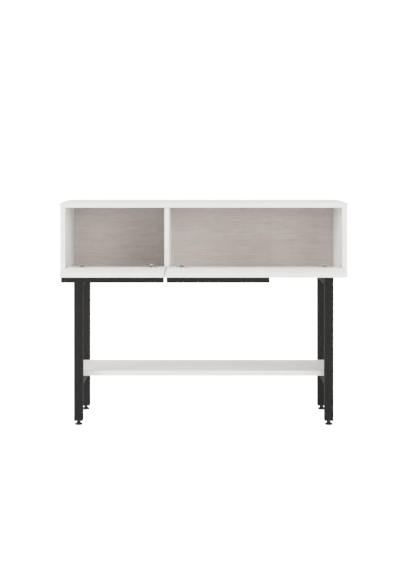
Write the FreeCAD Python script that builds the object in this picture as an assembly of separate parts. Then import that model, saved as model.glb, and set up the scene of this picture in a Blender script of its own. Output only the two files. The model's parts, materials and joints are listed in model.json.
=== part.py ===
import FreeCAD, Part
import math
import os

# Console table: a white board case with two bottom-hinged flap doors, standing on two
# black square-tube side frames with a lower shelf and four screw-adjusted feet.
# Millimetres. +X is to the right, +Y to the back, +Z up. The origin is on the floor, at the
# centre of the bounding box with both doors lying open, which is how the table rests.

# Case
CASE_WIDTH = 1100.0
CASE_DEPTH = 350.0
BOARD = 18.0
TOP_OVERHANG = 2.0
CASE_BASE_Z = 571.0
CASE_HEIGHT = 286.0
DIVIDER_CENTRE_X = -142.7
DIVIDER_RECESS = 22.5
BACK_THICKNESS = 8.0
BACK_RECESS = 20.0
GROOVE_DEPTH = 8.0
GROOVE_CLEARANCE = 0.2

# Doors, as closed
DOOR_SIDE_GAP = 6.5
DOOR_MIDDLE_GAP = 4.0
DOOR_TOP_GAP = 6.0
EDGE_ROUNDING = 1.0

# Hinge geometry, as closed: the axis above the case floor and behind the case front,
# and its height above the door's lower edge
PIVOT_RISE = 12.5
PIVOT_INSET = 8.2
PIVOT_FROM_DOOR_EDGE = 8.8
CUP_RADIUS = 17.5
CUP_WALL = 0.8
CUP_CENTRE_FROM_EDGE = 22.0
CUP_DEPTH = 14.0
CUP_FLOOR = 1.0
FLANGE_THICKNESS = 1.2
FLANGE_LENGTH = 52.0
FLANGE_WIDTH = 20.0
CUP_SCREW_SPACING = 42.0
PIN_RADIUS = 1.25
PIN_LENGTH = 16.0
LUG_THICKNESS = 3.0
LUG_REACH = 3.2
RUNNING_CLEARANCE = 0.05
KNUCKLE_RADIUS = 2.6
LINK_WIDTH = 8.0
LINK_BACK = 2.6
ARM_WIDTH = 14.0
ARM_CREST_Z = 33.0
ARM_CREST_THICKNESS = 6.0
ARM_CREST_END = 31.0
ARM_DROP_THICKNESS = 5.0
ARM_TAIL_TOP = 19.0
ARM_END = 86.0
ARM_CHAMFER = 2.5
ARM_SCREWS = (46.0, 76.0)
HINGE_FROM_DOOR_EDGE = 57.0
PLATE_FRONT = 34.0
PLATE_WING_Y = 51.0
PLATE_BLOCK_WIDTH = 16.0
PLATE_BLOCK_HEIGHT = 11.0
PLATE_WING_LENGTH = 48.0
PLATE_WING_WIDTH = 16.0
PLATE_WING_THICKNESS = 2.5
PLATE_SCREW_SPACING = 32.0

# Handles: an angle strip along the door's upper edge
HANDLE_LENGTH = 375.5
HANDLE_LIP = 18.2
HANDLE_FLANGE = 22.0
HANDLE_THICKNESS = 2.0
HANDLE_LEFT_MARGIN = 0.8
HANDLE_RIGHT_MARGIN = 5.5
HANDLE_SCREW_LINE = 14.1
HANDLE_SCREWS = 3

# Side frames
TUBE = 34.0
TUBE_WALL = 1.5
LEG_FROM_CASE_SIDE = 50.0
LEG_SETBACK = 17.0
SHELF_TOP_Z = 205.0
SHELF_THICKNESS = 20.0

# Feet
LEG_BASE_Z = 17.0
PLUG_CAP = 2.0
PLUG_DEPTH = 22.0
INSERT_RADIUS = 6.0
INSERT_LENGTH = 20.0
FOOT_RADIUS = 14.5
FOOT_RIM = 6.0
FOOT_NECK_RADIUS = 7.5
FOOT_HEIGHT = 10.5
STEM_RADIUS = 4.0
STEM_COLLAR_RADIUS = 5.8
STEM_COLLAR_BASE = 2.8
STEM_COLLAR_HEIGHT = 2.4
STEM_HEX_FLATS = 13.0
STEM_HEX_HEIGHT = 5.5
STEM_TOP_Z = 62.0

# Screws and case fittings
SCREW_FIT = 0.05
WOOD_SCREW_RADIUS = 2.0
WOOD_SCREW_LENGTH = 13.0
WOOD_SCREW_HEAD = 3.8
WOOD_SCREW_HEAD_HEIGHT = 2.2
FRAME_SCREW_RADIUS = 2.5
FRAME_SCREW_HEAD = 5.0
FRAME_SCREW_HEAD_HEIGHT = 3.0
FRAME_SCREW_BITE = 13.0
RECESS_DEPTH = 1.2
CAM_RADIUS = 7.5
CAM_DEPTH = 12.5
CAM_FROM_EDGE = 24.0
CAM_BOLT_RADIUS = 3.5
CAM_BOLT_BITE = 11.0
DOWEL_RADIUS = 4.0
DOWEL_LENGTH = 30.0
DOWEL_FROM_CAM = 32.0
JOINT_FRONT_SETBACK = 60.0

# Worked out from the dimensions above
CASE_TOP_Z = CASE_BASE_Z + CASE_HEIGHT
FLOOR_Z = CASE_BASE_Z + BOARD
CEILING_Z = CASE_TOP_Z - BOARD
INNER_HALF_WIDTH = CASE_WIDTH / 2 - BOARD
DOOR_BOTTOM_GAP = PIVOT_RISE - PIVOT_FROM_DOOR_EDGE
DOOR_HEIGHT = CEILING_Z - FLOOR_Z - DOOR_BOTTOM_GAP - DOOR_TOP_GAP
DOOR_EDGE_INSET = PIVOT_INSET + PIVOT_FROM_DOOR_EDGE
DOOR_REACH = DOOR_HEIGHT - DOOR_EDGE_INSET
FRONT_Y = (DOOR_REACH - CASE_DEPTH) / 2
BACK_Y = FRONT_Y + CASE_DEPTH
DOOR_UNDERSIDE_Z = FLOOR_Z + PIVOT_RISE - PIVOT_INSET
DOOR_TOPSIDE_Z = DOOR_UNDERSIDE_Z + BOARD
DOOR_HINGE_EDGE_Y = FRONT_Y + DOOR_EDGE_INSET
DOOR_FREE_EDGE_Y = FRONT_Y - DOOR_REACH
PIVOT_Y = FRONT_Y + PIVOT_INSET
PIVOT_Z = FLOOR_Z + PIVOT_RISE
LEG_CENTRE_X = CASE_WIDTH / 2 - LEG_FROM_CASE_SIDE - TUBE / 2
FRONT_LEG_Y = FRONT_Y + LEG_SETBACK
BACK_LEG_Y = BACK_Y - LEG_SETBACK - TUBE
SHELF_BASE_Z = SHELF_TOP_Z - SHELF_THICKNESS
BACK_PANEL_Y = BACK_Y - BACK_RECESS - BACK_THICKNESS
LEFT_DOOR_X = (-INNER_HALF_WIDTH + DOOR_SIDE_GAP, DIVIDER_CENTRE_X - DOOR_MIDDLE_GAP / 2)
RIGHT_DOOR_X = (DIVIDER_CENTRE_X + DOOR_MIDDLE_GAP / 2, INNER_HALF_WIDTH - DOOR_SIDE_GAP)
LEFT_HINGES_X = (LEFT_DOOR_X[0] + HINGE_FROM_DOOR_EDGE, LEFT_DOOR_X[1] - HINGE_FROM_DOOR_EDGE)
RIGHT_HINGES_X = (RIGHT_DOOR_X[0] + HINGE_FROM_DOOR_EDGE, RIGHT_DOOR_X[1] - HINGE_FROM_DOOR_EDGE)
DOORS = (("left", LEFT_DOOR_X, LEFT_HINGES_X), ("right", RIGHT_DOOR_X, RIGHT_HINGES_X))
HINGES = {
    "left_outer": LEFT_HINGES_X[0],
    "left_inner": LEFT_HINGES_X[1],
    "right_inner": RIGHT_HINGES_X[0],
    "right_outer": RIGHT_HINGES_X[1],
}
FEET = {
    "front_left": (-LEG_CENTRE_X, FRONT_LEG_Y + TUBE / 2),
    "front_right": (LEG_CENTRE_X, FRONT_LEG_Y + TUBE / 2),
    "back_left": (-LEG_CENTRE_X, BACK_LEG_Y + TUBE / 2),
    "back_right": (LEG_CENTRE_X, BACK_LEG_Y + TUBE / 2),
}
JOINT_FRONT_Y = FRONT_Y + JOINT_FRONT_SETBACK
JOINT_BACK_Y = BACK_PANEL_Y - JOINT_FRONT_SETBACK
PLUG_TOP_Z = LEG_BASE_Z + PLUG_CAP + PLUG_DEPTH

X_AXIS = FreeCAD.Vector(1, 0, 0)
Y_AXIS = FreeCAD.Vector(0, 1, 0)
Z_AXIS = FreeCAD.Vector(0, 0, 1)


def box(x0, x1, y0, y1, z0, z1):
    """A box between two corners."""
    return Part.makeBox(x1 - x0, y1 - y0, z1 - z0, FreeCAD.Vector(x0, y0, z0))


def rod(radius, length, start, axis):
    """A round bar from start along axis."""
    return Part.makeCylinder(radius, length, FreeCAD.Vector(*start), axis)


def save(name, solids):
    """Write one sub-part from one or more solids."""
    shape = solids[0] if len(solids) == 1 else Part.makeCompound(solids)
    shape.exportStep(f"parts/{name}.step")


def cut(body, tools):
    """Body less every tool, as one solid."""
    return body.cut(Part.makeCompound(tools)).Solids[0]


def eased_board(x0, x1, y0, y1, z0, z1):
    """A board with all its edges lightly rounded."""
    board = box(x0, x1, y0, y1, z0, z1)
    return board.makeFillet(EDGE_ROUNDING, board.Edges)


def cross_recess(centre, axis, across, radius):
    """The driver's cross in a screw head: two bars sunk from centre along axis."""
    other = across.cross(axis)
    bars = []
    for way, side in ((across, other), (other, across)):
        half_long = radius * 0.6
        half_thin = radius * 0.14
        base = FreeCAD.Vector(*centre) - way * half_long - side * half_thin
        corners = [
            base,
            base + way * (2 * half_long),
            base + way * (2 * half_long) + side * (2 * half_thin),
            base + side * (2 * half_thin),
            base,
        ]
        bars.append(Part.Face(Part.makePolygon(corners)).extrude(axis * RECESS_DEPTH))
    return bars


def screw(seat, axis, radius, length, head_radius, head_height):
    """A pan-head screw whose shank runs from seat along axis, its head on the other side."""
    seat_point = FreeCAD.Vector(*seat)
    top = seat_point - axis * head_height
    head = Part.makeCylinder(head_radius, head_height, top, axis)
    rim = [edge for edge in head.Edges if edge.CenterOfMass.distanceToPoint(top) < RECESS_DEPTH / 2]
    head = head.makeFillet(head_height * 0.45, rim)
    body = head.fuse(Part.makeCylinder(radius, length, seat_point, axis)).removeSplitter()
    across = Y_AXIS if abs(axis.y) < 0.5 else X_AXIS
    return cut(body, cross_recess(tuple(top), axis, across, head_radius))


def large_screws(places):
    """A group of upright screws, each long enough to pass a rail and bite into the board above."""
    length = TUBE + FRAME_SCREW_BITE
    return [
        screw(place, Z_AXIS, FRAME_SCREW_RADIUS, length, FRAME_SCREW_HEAD, FRAME_SCREW_HEAD_HEIGHT)
        for place in places
    ]


def small_screws(places, axis):
    """A group of small wood screws."""
    return [
        screw(place, axis, WOOD_SCREW_RADIUS, WOOD_SCREW_LENGTH, WOOD_SCREW_HEAD, WOOD_SCREW_HEAD_HEIGHT)
        for place in places
    ]


def wood_screw_bore(start, axis, length=WOOD_SCREW_LENGTH):
    """The bore for a small screw."""
    return rod(WOOD_SCREW_RADIUS + SCREW_FIT, length, start, axis)


def frame_screw_bore(start, length):
    """The bore, straight up, for a large screw."""
    return rod(FRAME_SCREW_RADIUS + SCREW_FIT, length, start, Z_AXIS)


# Case fittings. A case joint holds an upright board's end with two cams and two dowels.

def cam_places():
    """Each cam as (centre, inward axis, bolt start, bolt axis) for the board joints."""
    places = []
    for y in (JOINT_FRONT_Y, JOINT_BACK_Y):
        for side in (-1, 1):
            face_x = side * INNER_HALF_WIDTH
            cam_z = CEILING_Z - CAM_FROM_EDGE
            places.append(((face_x, y, cam_z), X_AXIS * side, (face_x + side * BOARD / 2, y, cam_z), Z_AXIS))
            cam_x = face_x - side * CAM_FROM_EDGE
            mid_z = CASE_BASE_Z + BOARD / 2
            places.append(((cam_x, y, CASE_BASE_Z), Z_AXIS, (cam_x, y, mid_z), X_AXIS * side))
        divider_face = DIVIDER_CENTRE_X - BOARD / 2
        cam_z = CEILING_Z - CAM_FROM_EDGE
        places.append(((divider_face, y, cam_z), X_AXIS, (DIVIDER_CENTRE_X, y, cam_z), Z_AXIS))
    return places


def cam_cutters():
    """Pockets for the cams and bores for their bolts, to be cut from every case board."""
    tools = []
    for centre, inward, start, along in cam_places():
        tools.append(rod(CAM_RADIUS, CAM_DEPTH, centre, inward))
        tools.append(rod(CAM_BOLT_RADIUS + SCREW_FIT, CAM_FROM_EDGE + CAM_BOLT_BITE, start, along))
    return tools


def dowel_places():
    """Each dowel as (start, axis), half in each of the two boards."""
    places = []
    for y in (JOINT_FRONT_Y + DOWEL_FROM_CAM, JOINT_BACK_Y - DOWEL_FROM_CAM):
        for side in (-1, 1):
            middle_x = side * (INNER_HALF_WIDTH + BOARD / 2)
            places.append(((middle_x, y, CEILING_Z - DOWEL_LENGTH + CAM_BOLT_BITE), Z_AXIS))
            start_x = side * (INNER_HALF_WIDTH + CAM_BOLT_BITE)
            places.append(((start_x, y, CASE_BASE_Z + BOARD / 2), X_AXIS * -side))
        places.append(((DIVIDER_CENTRE_X, y, CEILING_Z - DOWEL_LENGTH + CAM_BOLT_BITE), Z_AXIS))
        places.append(((DIVIDER_CENTRE_X, y, FLOOR_Z - CAM_BOLT_BITE), Z_AXIS))
    return places


def dowel_cutters():
    """Bores for the dowels."""
    return [rod(DOWEL_RADIUS + SCREW_FIT, DOWEL_LENGTH, start, axis) for start, axis in dowel_places()]


def divider_screw_places():
    """Seats of the two screws that come up through the case floor into the divider."""
    return [(DIVIDER_CENTRE_X, y, CASE_BASE_Z) for y in (JOINT_FRONT_Y, JOINT_BACK_Y)]


def back_groove():
    """The groove that runs round the case for the back panel."""
    reach = INNER_HALF_WIDTH + GROOVE_DEPTH
    front = BACK_PANEL_Y - GROOVE_CLEARANCE
    back = BACK_PANEL_Y + BACK_THICKNESS + GROOVE_CLEARANCE
    return box(-reach, reach, front, back, FLOOR_Z - GROOVE_DEPTH, CEILING_Z + GROOVE_DEPTH)


def case_cutters():
    """All bores and grooves that the case boards share."""
    return cam_cutters() + dowel_cutters() + [back_groove()]


def frame_screw_places():
    """Seats of the screws through the two top rails into the case floor."""
    middle = (FRONT_LEG_Y + TUBE + BACK_LEG_Y) / 2
    spread = (BACK_LEG_Y - FRONT_LEG_Y - TUBE) / 2 - TUBE
    rail_base = CASE_BASE_Z - TUBE
    depths = [middle + step * spread for step in (-1, 0, 1)]
    return [(side * LEG_CENTRE_X, y, rail_base) for side in (-1, 1) for y in depths]


def shelf_screw_places():
    """Seats of the screws through the two lower rails into the shelf."""
    middle = (FRONT_LEG_Y + TUBE + BACK_LEG_Y) / 2
    spread = (BACK_LEG_Y - FRONT_LEG_Y - TUBE) / 2 - 2 * TUBE
    rail_base = SHELF_BASE_Z - TUBE
    depths = (middle - spread, middle + spread)
    return [(side * LEG_CENTRE_X, y, rail_base) for side in (-1, 1) for y in depths]


def plate_screw_places():
    """Seats of the screws that hold the hinge plates to the case floor, two to a plate."""
    y = FRONT_Y + PLATE_WING_Y
    z = FLOOR_Z + PLATE_WING_THICKNESS
    return [(x + side * PLATE_SCREW_SPACING / 2, y, z) for x in HINGES.values() for side in (-1, 1)]


def make_case_boards():
    """Top, floor, sides and divider, bored and grooved for their fittings."""
    half = CASE_WIDTH / 2
    cutters = case_cutters()
    top_half = half + TOP_OVERHANG
    top = eased_board(-top_half, top_half, FRONT_Y - TOP_OVERHANG, BACK_Y, CEILING_Z, CASE_TOP_Z)
    save("top_board", [cut(top, cutters)])
    for name, side in (("left_side_panel", -1), ("right_side_panel", 1)):
        x0, x1 = sorted((side * INNER_HALF_WIDTH, side * half))
        save(name, [cut(box(x0, x1, FRONT_Y, BACK_Y, CASE_BASE_Z, CEILING_Z), cutters)])
    pilots = []
    for x, y, z in frame_screw_places():
        pilots.append(frame_screw_bore((x, y, CASE_BASE_Z), FRAME_SCREW_BITE))
    for place in divider_screw_places():
        pilots.append(frame_screw_bore(place, BOARD))
    for x, y, z in plate_screw_places():
        pilots.append(wood_screw_bore((x, y, FLOOR_Z), -Z_AXIS))
    floor = box(-INNER_HALF_WIDTH, INNER_HALF_WIDTH, FRONT_Y, BACK_Y, CASE_BASE_Z, FLOOR_Z)
    save("bottom_panel", [cut(floor, cutters + pilots)])
    divider = box(DIVIDER_CENTRE_X - BOARD / 2, DIVIDER_CENTRE_X + BOARD / 2, FRONT_Y + DIVIDER_RECESS,
                  BACK_PANEL_Y, FLOOR_Z, CEILING_Z)
    bores = []
    for x, y, z in divider_screw_places():
        bores.append(frame_screw_bore((x, y, FLOOR_Z), TUBE + FRAME_SCREW_BITE - BOARD))
    save("centre_divider", [cut(divider, cam_cutters() + dowel_cutters() + bores)])


def make_back_panel():
    """The thin back board, held in the groove."""
    reach = INNER_HALF_WIDTH + GROOVE_DEPTH - GROOVE_CLEARANCE
    low = FLOOR_Z - GROOVE_DEPTH + GROOVE_CLEARANCE
    high = CEILING_Z + GROOVE_DEPTH - GROOVE_CLEARANCE
    save("back_panel", [box(-reach, reach, BACK_PANEL_Y, BACK_PANEL_Y + BACK_THICKNESS, low, high)])


def make_case_fittings():
    """Cams, cam bolts, dowels and the divider's screws."""
    cams = []
    bolts = []
    for centre, inward, start, along in cam_places():
        cam = rod(CAM_RADIUS - SCREW_FIT, CAM_DEPTH, centre, inward)
        passage = rod(CAM_BOLT_RADIUS + SCREW_FIT, CAM_RADIUS * 2, start, along)
        slots = cross_recess(centre, inward, along, CAM_RADIUS)
        cams.append(cut(cam, [passage] + slots))
        bolts.append(rod(CAM_BOLT_RADIUS, CAM_FROM_EDGE + CAM_BOLT_BITE, start, along))
    save("cam_locks", cams)
    save("cam_bolts", bolts)
    save("dowels", [rod(DOWEL_RADIUS, DOWEL_LENGTH, start, axis) for start, axis in dowel_places()])
    save("divider_screws", large_screws(divider_screw_places()))


# Doors. They are modelled lying open, the hinge edge inside the case and the free edge in front.

def cup_centre_y():
    """Depth of every cup's centre with the door open."""
    return DOOR_HINGE_EDGE_Y - CUP_CENTRE_FROM_EDGE


def handle_span(door_x, door_is_left):
    """The two ends of a handle along its door's free edge."""
    start = door_x[0] + HANDLE_RIGHT_MARGIN
    if door_is_left:
        start = door_x[1] - HANDLE_LEFT_MARGIN - HANDLE_LENGTH
    return start, start + HANDLE_LENGTH


def handle_screw_places(span):
    """Seats of a handle's screws, on the flange under the open door."""
    inset = HANDLE_LENGTH / (2 * HANDLE_SCREWS)
    pitch = HANDLE_LENGTH / HANDLE_SCREWS
    y = DOOR_FREE_EDGE_Y + HANDLE_SCREW_LINE
    z = DOOR_UNDERSIDE_Z - HANDLE_THICKNESS
    return [(span[0] + inset + pitch * index, y, z) for index in range(HANDLE_SCREWS)]


def cup_screw_places(hinge_x):
    """Seats of the two screws that hold a cup's flange to the door."""
    z = DOOR_TOPSIDE_Z + FLANGE_THICKNESS
    return [(hinge_x + side * CUP_SCREW_SPACING / 2, cup_centre_y(), z) for side in (-1, 1)]


def make_door(name, door_x, hinges_x, span):
    """A door board with its cup pockets and pilot holes."""
    low_x, high_x = door_x
    board = eased_board(low_x, high_x, DOOR_FREE_EDGE_Y, DOOR_HINGE_EDGE_Y, DOOR_UNDERSIDE_Z, DOOR_TOPSIDE_Z)
    tools = []
    for hinge_x in hinges_x:
        tools.append(rod(CUP_RADIUS, CUP_DEPTH, (hinge_x, cup_centre_y(), DOOR_TOPSIDE_Z), -Z_AXIS))
        for x, y, z in cup_screw_places(hinge_x):
            tools.append(wood_screw_bore((x, y, DOOR_TOPSIDE_Z), -Z_AXIS))
    for x, y, z in handle_screw_places(span):
        tools.append(wood_screw_bore((x, y, DOOR_UNDERSIDE_Z), Z_AXIS))
    save(name, [cut(board, tools)])


def make_cup(name, hinge_x):
    """A cup with its flange, open at the top, and two lugs inside it that hold the hinge pin."""
    y = cup_centre_y()
    z = DOOR_TOPSIDE_Z
    shell = rod(CUP_RADIUS - SCREW_FIT, CUP_DEPTH, (hinge_x, y, z - CUP_DEPTH), Z_AXIS)
    front = y - FLANGE_WIDTH / 2
    flange = box(hinge_x - FLANGE_LENGTH / 2, hinge_x + FLANGE_LENGTH / 2, front, front + FLANGE_WIDTH,
                 z, z + FLANGE_THICKNESS)
    flange = flange.fuse(rod(CUP_RADIUS + 1, FLANGE_THICKNESS, (hinge_x, y, z), Z_AXIS))
    hollow_depth = CUP_DEPTH - CUP_FLOOR + FLANGE_THICKNESS
    hollow = rod(CUP_RADIUS - CUP_WALL, hollow_depth, (hinge_x, y, z - CUP_DEPTH + CUP_FLOOR), Z_AXIS)
    lugs = []
    for side in (-1, 1):
        x0, x1 = sorted((hinge_x + side * (PIN_LENGTH / 2 - LUG_THICKNESS), hinge_x + side * PIN_LENGTH / 2))
        lug = box(x0, x1, PIVOT_Y - LUG_REACH, DOOR_HINGE_EDGE_Y, z - CUP_DEPTH, PIVOT_Z + LUG_REACH)
        lugs.append(lug.common(shell))
    holes = [rod(PIN_RADIUS, PIN_LENGTH, (hinge_x - PIN_LENGTH / 2, PIVOT_Y, PIVOT_Z), X_AXIS)]
    for sx, sy, sz in cup_screw_places(hinge_x):
        holes.append(wood_screw_bore((sx, sy, z), Z_AXIS, FLANGE_THICKNESS))
    cup = shell.fuse(flange).cut(hollow).fuse(lugs).removeSplitter()
    save(name, [cut(cup, holes)])


def make_handle(name, span):
    """The angle strip: a flange on the door's outer face and a lip along its free edge."""
    y = DOOR_FREE_EDGE_Y
    z = DOOR_UNDERSIDE_Z
    lip = box(span[0], span[1], y, y + HANDLE_THICKNESS, z - HANDLE_LIP, z)
    flange = box(span[0], span[1], y, y + HANDLE_FLANGE, z - HANDLE_THICKNESS, z)
    strip = lip.fuse(flange).removeSplitter()
    holes = []
    for x, sy, sz in handle_screw_places(span):
        holes.append(wood_screw_bore((x, sy, sz), Z_AXIS, HANDLE_THICKNESS))
    save(name, [cut(strip, holes)])


def make_doors():
    """Both doors with their handles, hinge cups, pins and screws."""
    for side, door_x, hinges_x in DOORS:
        span = handle_span(door_x, side == "left")
        make_door(f"{side}_door", door_x, hinges_x, span)
        make_handle(f"{side}_door_handle", span)
        save(f"{side}_handle_screws", small_screws(handle_screw_places(span), Z_AXIS))
        cup_screws = []
        pins = []
        for hinge_x in hinges_x:
            cup_screws += small_screws(cup_screw_places(hinge_x), -Z_AXIS)
            pins.append(rod(PIN_RADIUS, PIN_LENGTH, (hinge_x - PIN_LENGTH / 2, PIVOT_Y, PIVOT_Z), X_AXIS))
        save(f"{side}_hinge_cup_screws", cup_screws)
        save(f"{side}_hinge_pins", pins)
    for name, hinge_x in HINGES.items():
        make_cup(f"{name}_hinge_cup", hinge_x)


# Hinge arms and plates, fixed to the case floor.

def arm_outline(hinge_x, points):
    """A slab of the given side outline, as wide as the arm and centred on the hinge."""
    start = [FreeCAD.Vector(hinge_x - ARM_WIDTH / 2, FRONT_Y + y, FLOOR_Z + z) for y, z in points]
    return Part.Face(Part.makePolygon(start + [start[0]])).extrude(X_AXIS * ARM_WIDTH)


def arm_screw_places(hinge_x):
    """Seats of the two screws that clamp an arm to its plate."""
    z = FLOOR_Z + ARM_TAIL_TOP
    return [(hinge_x, FRONT_Y + y, z) for y in ARM_SCREWS]


def make_arm(name, hinge_x):
    """A cranked arm: a link down into the cup, a crest over the door's edge and a tail on the plate."""
    link_front = PIVOT_INSET - LINK_BACK
    link_back = PIVOT_INSET + LINK_BACK
    crest_base = ARM_CREST_Z - ARM_CREST_THICKNESS
    link = box(hinge_x - LINK_WIDTH / 2, hinge_x + LINK_WIDTH / 2, FRONT_Y + link_front, FRONT_Y + link_back,
               PIVOT_Z, FLOOR_Z + ARM_CREST_Z)
    knuckle = rod(KNUCKLE_RADIUS, LINK_WIDTH, (hinge_x - LINK_WIDTH / 2, PIVOT_Y, PIVOT_Z), X_AXIS)
    drop_front = ARM_CREST_END - ARM_DROP_THICKNESS
    channel = arm_outline(hinge_x, [
        (link_front, crest_base),
        (drop_front, crest_base),
        (drop_front, PLATE_BLOCK_HEIGHT),
        (ARM_END, PLATE_BLOCK_HEIGHT),
        (ARM_END, ARM_TAIL_TOP - ARM_CHAMFER),
        (ARM_END - ARM_CHAMFER, ARM_TAIL_TOP),
        (ARM_CREST_END + ARM_DROP_THICKNESS, ARM_TAIL_TOP),
        (ARM_CREST_END, ARM_TAIL_TOP + ARM_DROP_THICKNESS),
        (ARM_CREST_END, ARM_CREST_Z - ARM_CHAMFER),
        (ARM_CREST_END - ARM_CHAMFER, ARM_CREST_Z),
        (link_front + ARM_CHAMFER, ARM_CREST_Z),
        (link_front, ARM_CREST_Z - ARM_CHAMFER),
    ])
    bore = rod(PIN_RADIUS + RUNNING_CLEARANCE, ARM_WIDTH, (hinge_x - ARM_WIDTH / 2, PIVOT_Y, PIVOT_Z), X_AXIS)
    holes = [bore]
    for x, y, z in arm_screw_places(hinge_x):
        holes.append(wood_screw_bore((x, y, z), -Z_AXIS, ARM_TAIL_TOP))
    save(name, [cut(link.fuse([knuckle, channel]).removeSplitter(), holes)])


def make_plate(name, hinge_x):
    """A cross-shaped mounting plate: a raised block along the arm and two screwed wings."""
    y0 = FRONT_Y + PLATE_FRONT
    wing_y = FRONT_Y + PLATE_WING_Y
    block = box(hinge_x - PLATE_BLOCK_WIDTH / 2, hinge_x + PLATE_BLOCK_WIDTH / 2, y0, FRONT_Y + ARM_END,
                FLOOR_Z, FLOOR_Z + PLATE_BLOCK_HEIGHT)
    wing_front = wing_y - PLATE_WING_WIDTH / 2
    wings = box(hinge_x - PLATE_WING_LENGTH / 2, hinge_x + PLATE_WING_LENGTH / 2, wing_front,
                wing_front + PLATE_WING_WIDTH, FLOOR_Z, FLOOR_Z + PLATE_WING_THICKNESS)
    plate = block.fuse(wings).removeSplitter()
    holes = []
    for side in (-1, 1):
        place = (hinge_x + side * PLATE_SCREW_SPACING / 2, wing_y, FLOOR_Z)
        holes.append(wood_screw_bore(place, Z_AXIS, PLATE_WING_THICKNESS))
    for x, y, z in arm_screw_places(hinge_x):
        holes.append(wood_screw_bore((x, y, z), -Z_AXIS))
    save(name, [cut(plate, holes)])


def make_hinge_mountings():
    """Every arm and plate with their screws."""
    arm_screws = []
    for name, hinge_x in HINGES.items():
        make_arm(f"{name}_hinge_arm", hinge_x)
        make_plate(f"{name}_hinge_plate", hinge_x)
        arm_screws += small_screws(arm_screw_places(hinge_x), -Z_AXIS)
    save("hinge_arm_screws", arm_screws)
    save("hinge_plate_screws", small_screws(plate_screw_places(), -Z_AXIS))


# Side frames: welded square tube, two legs joined by a top rail and a lower rail.

def tube(x0, x1, y0, y1, z0, z1, along):
    """A square tube with open ends, running along one axis."""
    grow = {"y": (TUBE_WALL, 0, TUBE_WALL), "z": (TUBE_WALL, TUBE_WALL, 0)}[along]
    inner = box(x0 + grow[0], x1 - grow[0], y0 + grow[1], y1 - grow[1], z0 + grow[2], z1 - grow[2])
    return box(x0, x1, y0, y1, z0, z1).cut(inner)


def make_side_frames():
    """Four legs and four rails."""
    rail_bores = [frame_screw_bore(place, TUBE) for place in frame_screw_places() + shelf_screw_places()]
    for side, centre in (("left", -LEG_CENTRE_X), ("right", LEG_CENTRE_X)):
        x0 = centre - TUBE / 2
        x1 = centre + TUBE / 2
        for place, y in (("front", FRONT_LEG_Y), ("back", BACK_LEG_Y)):
            leg = tube(x0, x1, y, y + TUBE, LEG_BASE_Z + PLUG_CAP, CASE_BASE_Z, "z")
            save(f"{place}_{side}_leg", [leg])
        for name, top in (("top_rail", CASE_BASE_Z), ("lower_rail", SHELF_BASE_Z)):
            rail = tube(x0, x1, FRONT_LEG_Y + TUBE, BACK_LEG_Y, top - TUBE, top, "y")
            save(f"{side}_{name}", [cut(rail, rail_bores)])
    save("frame_screws", large_screws(frame_screw_places()))


def make_shelf():
    """The lower shelf between the front and back legs, and its screws."""
    half = LEG_CENTRE_X + TUBE / 2
    board = eased_board(-half, half, FRONT_LEG_Y + TUBE, BACK_LEG_Y, SHELF_BASE_Z, SHELF_TOP_Z)
    pilots = []
    for x, y, z in shelf_screw_places():
        pilots.append(frame_screw_bore((x, y, SHELF_BASE_Z), FRAME_SCREW_BITE))
    save("shelf", [cut(board, pilots)])
    save("shelf_screws", large_screws(shelf_screw_places()))


# Feet: a plastic pad snapped over the collar of an M8 stem, screwed into a plugged leg.

def make_leg_plugs():
    """Plastic tube plugs and the threaded inserts moulded into them."""
    plugs = []
    inserts = []
    inner = TUBE / 2 - TUBE_WALL - SCREW_FIT
    insert_base = PLUG_TOP_Z - INSERT_LENGTH
    for x, y in FEET.values():
        cap = box(x - TUBE / 2, x + TUBE / 2, y - TUBE / 2, y + TUBE / 2, LEG_BASE_Z, LEG_BASE_Z + PLUG_CAP)
        body = box(x - inner, x + inner, y - inner, y + inner, LEG_BASE_Z + PLUG_CAP, PLUG_TOP_Z)
        pocket = rod(INSERT_RADIUS, INSERT_LENGTH, (x, y, insert_base), Z_AXIS)
        bore = rod(STEM_RADIUS + RUNNING_CLEARANCE, PLUG_TOP_Z - LEG_BASE_Z, (x, y, LEG_BASE_Z), Z_AXIS)
        plugs.append(cut(cap.fuse(body).removeSplitter(), [pocket, bore]))
        sleeve = rod(INSERT_RADIUS - SCREW_FIT, INSERT_LENGTH, (x, y, insert_base), Z_AXIS)
        inserts.append(cut(sleeve, [bore]))
    save("leg_plugs", plugs)
    save("threaded_inserts", inserts)


def make_foot_pad(name, x, y):
    """A pad: a flat rim, a cone up to the neck, and a socket that traps the stem's collar."""
    rim = rod(FOOT_RADIUS, FOOT_RIM, (x, y, 0), Z_AXIS)
    cone_base = FreeCAD.Vector(x, y, FOOT_RIM)
    cone = Part.makeCone(FOOT_RADIUS, FOOT_NECK_RADIUS, FOOT_HEIGHT - FOOT_RIM, cone_base, Z_AXIS)
    socket_radius = STEM_COLLAR_RADIUS + RUNNING_CLEARANCE
    gap = 2 * RUNNING_CLEARANCE
    socket = rod(socket_radius, STEM_COLLAR_HEIGHT + 2 * gap, (x, y, STEM_COLLAR_BASE - gap), Z_AXIS)
    throat = rod(STEM_RADIUS + RUNNING_CLEARANCE, FOOT_HEIGHT, (x, y, STEM_COLLAR_BASE), Z_AXIS)
    save(name, [cut(rim.fuse(cone).removeSplitter(), [socket, throat])])


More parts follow.
